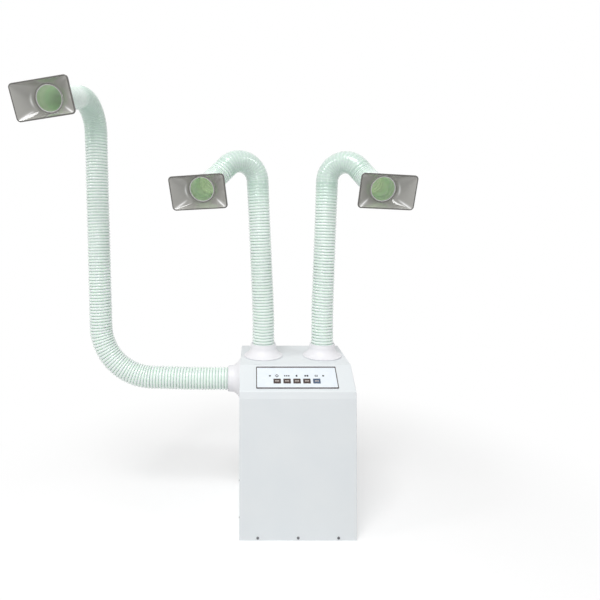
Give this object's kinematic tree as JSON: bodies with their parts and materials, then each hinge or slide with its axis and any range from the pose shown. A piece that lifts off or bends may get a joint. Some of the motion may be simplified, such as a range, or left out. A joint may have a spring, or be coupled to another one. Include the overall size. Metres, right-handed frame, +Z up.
{
  "type": "fume extraction arm",
  "caption": "Floor-standing fume extraction cabinet with self-supporting ribbed hose arms that end in square-mouthed hoods, press keys on a sloped face, and filters and a fan inside.",
  "frame": {"origin": "centre of the cabinet's base, on the floor", "axes": "+Z up; the front with the control face looks along -Y; +X to the right of someone facing the front"},
  "size_m": [1.1542, 0.5114, 1.4007],
  "materials": {
    "painted_sheet": "satin powder coat",
    "zinc_sheet": "zinc plated",
    "bright_screw": "zinc plated",
    "dark_screw": "blackened",
    "white_plastic": "satin",
    "mint_hose": "satin, slightly see-through",
    "smoke_hood": "gloss smoke grey",
    "label_film": "matt film",
    "brown_key": "satin",
    "blue_key": "satin",
    "lens": "gloss",
    "board": "solder mask",
    "foam": "open foam",
    "carbon": "granules in mesh",
    "filter_card": "card",
    "filter_media": "pleated glass paper",
    "black_plastic": "moulded",
    "motor_case": "cast, painted dark"
  },
  "bodies": {
    "cabinet": {"base_tray": "zinc_sheet", "cabinet_shell": "painted_sheet", "carbon_filter": "carbon", "control_board": "board", "control_fascia": "label_film", "fan_motor": "motor_case", "fault_lens": "lens", "filter_deck": "zinc_sheet", "filter_gasket": "foam", "front_screw_1": "dark_screw", "front_screw_2": "dark_screw", "front_screw_3": "dark_screw", "hepa_frame": "filter_card", "hepa_media": "filter_media", "inlet_ring": "zinc_sheet", "left_flange": "white_plastic", "left_lock_ring": "white_plastic", "power_inlet": "black_plastic", "prefilter": "foam", "rear_panel": "painted_sheet", "rear_screw_1": "bright_screw", "rear_screw_2": "bright_screw", "right_flange": "white_plastic", "right_lock_ring": "white_plastic", "side_flange": "white_plastic", "side_lock_ring": "white_plastic", "side_screw_1": "bright_screw", "side_screw_2": "bright_screw", "status_lens": "lens"},
    "fan_rotor": {"impeller": "black_plastic", "motor_shaft": "zinc_sheet"},
    "key_1_cap": {"key_1": "brown_key"},
    "key_2_cap": {"key_2": "brown_key"},
    "key_3_cap": {"key_3": "brown_key"},
    "key_4_cap": {"key_4": "brown_key"},
    "key_5_cap": {"key_5": "blue_key"},
    "side_arm_base": {"side_swivel_cuff": "white_plastic", "side_hose_run_1": "mint_hose", "side_hose_bend_1": "mint_hose"},
    "side_arm_reach": {"side_hose_run_2": "mint_hose", "side_hose_bend_2": "mint_hose"},
    "side_arm_tip": {"side_hose_run_3": "mint_hose", "side_end_cuff": "white_plastic"},
    "side_hood_head": {"side_hood": "smoke_hood"},
    "left_arm_base": {"left_swivel_cuff": "white_plastic", "left_hose_run_1": "mint_hose", "left_hose_bend_1": "mint_hose"},
    "left_arm_reach": {"left_hose_run_2": "mint_hose", "left_hose_bend_2": "mint_hose"},
    "left_arm_tip": {"left_hose_run_3": "mint_hose", "left_end_cuff": "white_plastic"},
    "left_hood_head": {"left_hood": "smoke_hood"},
    "right_arm_base": {"right_swivel_cuff": "white_plastic", "right_hose_run_1": "mint_hose", "right_hose_bend_1": "mint_hose"},
    "right_arm_reach": {"right_hose_run_2": "mint_hose", "right_hose_bend_2": "mint_hose"},
    "right_arm_tip": {"right_hose_run_3": "mint_hose", "right_end_cuff": "white_plastic"},
    "right_hood_head": {"right_hood": "smoke_hood"}
  },
  "joints": [
    {"name": "fan_spin", "type": "hinge", "parent": "cabinet", "child": "fan_rotor", "pos_m": [0, 0, 0.1], "axis": [0, 0, 1], "continuous": true},
    {"name": "key_1_press", "type": "slide", "parent": "cabinet", "child": "key_1_cap", "axis": [0, 0.559, -0.8292], "range_m": [0, 0.0006], "stiffness_N_per_m": 400, "springref_m": -0.0004},
    {"name": "key_2_press", "type": "slide", "parent": "cabinet", "child": "key_2_cap", "axis": [0, 0.559, -0.8292], "range_m": [0, 0.0006], "stiffness_N_per_m": 400, "springref_m": -0.0004},
    {"name": "key_3_press", "type": "slide", "parent": "cabinet", "child": "key_3_cap", "axis": [0, 0.559, -0.8292], "range_m": [0, 0.0006], "stiffness_N_per_m": 400, "springref_m": -0.0004},
    {"name": "key_4_press", "type": "slide", "parent": "cabinet", "child": "key_4_cap", "axis": [0, 0.559, -0.8292], "range_m": [0, 0.0006], "stiffness_N_per_m": 400, "springref_m": -0.0004},
    {"name": "key_5_press", "type": "slide", "parent": "cabinet", "child": "key_5_cap", "axis": [0, 0.559, -0.8292], "range_m": [0, 0.0006], "stiffness_N_per_m": 400, "springref_m": -0.0004},
    {"name": "side_swivel", "type": "hinge", "parent": "cabinet", "child": "side_arm_base", "pos_m": [-0.178, 0.025, 0.428], "axis": [-1, 0, 0], "range_deg": [-20, 30]},
    {"name": "side_bend_1", "type": "hinge", "parent": "side_arm_base", "child": "side_arm_reach", "pos_m": [-0.60423, 0.025, 0.48484], "axis": [0, 1, 0], "range_deg": [-30, 12], "deforming": ["side_hose_bend_1"]},
    {"name": "side_bend_2", "type": "hinge", "parent": "side_arm_reach", "child": "side_arm_tip", "pos_m": [-0.68232, -0.01275, 1.34395], "axis": [0.9946, -0.0998, 0.0291], "range_deg": [-30, 25], "deforming": ["side_hose_bend_2"]},
    {"name": "side_hood_swivel", "type": "hinge", "parent": "side_arm_tip", "child": "side_hood_head", "pos_m": [-0.708, -0.279, 1.308], "axis": [-0.0883, -0.9585, -0.2711], "range_deg": [-90, 90]},
    {"name": "left_swivel", "type": "hinge", "parent": "cabinet", "child": "left_arm_base", "pos_m": [-0.101, 0.03, 0.504], "axis": [0, 0, 1], "range_deg": [-40, 40]},
    {"name": "left_bend_1", "type": "hinge", "parent": "left_arm_base", "child": "left_arm_reach", "pos_m": [-0.15817, 0.00764, 1.16228], "axis": [0.4589, -0.8884, 0.0125], "range_deg": [-30, 20], "deforming": ["left_hose_bend_1"]},
    {"name": "left_bend_2", "type": "hinge", "parent": "left_arm_reach", "child": "left_arm_tip", "pos_m": [-0.26382, -0.05568, 1.10174], "axis": [-0.7161, -0.0704, 0.6944], "range_deg": [-25, 25], "deforming": ["left_hose_bend_2"]},
    {"name": "left_hood_swivel", "type": "hinge", "parent": "left_arm_tip", "child": "left_hood_head", "pos_m": [-0.292, -0.161, 1.062], "axis": [-0.2015, -0.9317, -0.3022], "range_deg": [-90, 90]},
    {"name": "right_swivel", "type": "hinge", "parent": "cabinet", "child": "right_arm_base", "pos_m": [0.101, 0.03, 0.504], "axis": [0, 0, 1], "range_deg": [-40, 40]},
    {"name": "right_bend_1", "type": "hinge", "parent": "right_arm_base", "child": "right_arm_reach", "pos_m": [0.15455, 0.00499, 1.16006], "axis": [0.5174, 0.8557, -0.0125], "range_deg": [-30, 20], "deforming": ["right_hose_bend_1"]},
    {"name": "right_bend_2", "type": "hinge", "parent": "right_arm_reach", "child": "right_arm_tip", "pos_m": [0.2393, -0.05648, 1.10309], "axis": [-0.7893, 0.0956, -0.6065], "range_deg": [-25, 25], "deforming": ["right_hose_bend_2"]},
    {"name": "right_hood_swivel", "type": "hinge", "parent": "right_arm_tip", "child": "right_hood_head", "pos_m": [0.257, -0.171, 1.062], "axis": [0.1024, -0.9534, -0.2837], "range_deg": [-90, 90]}
  ]
}
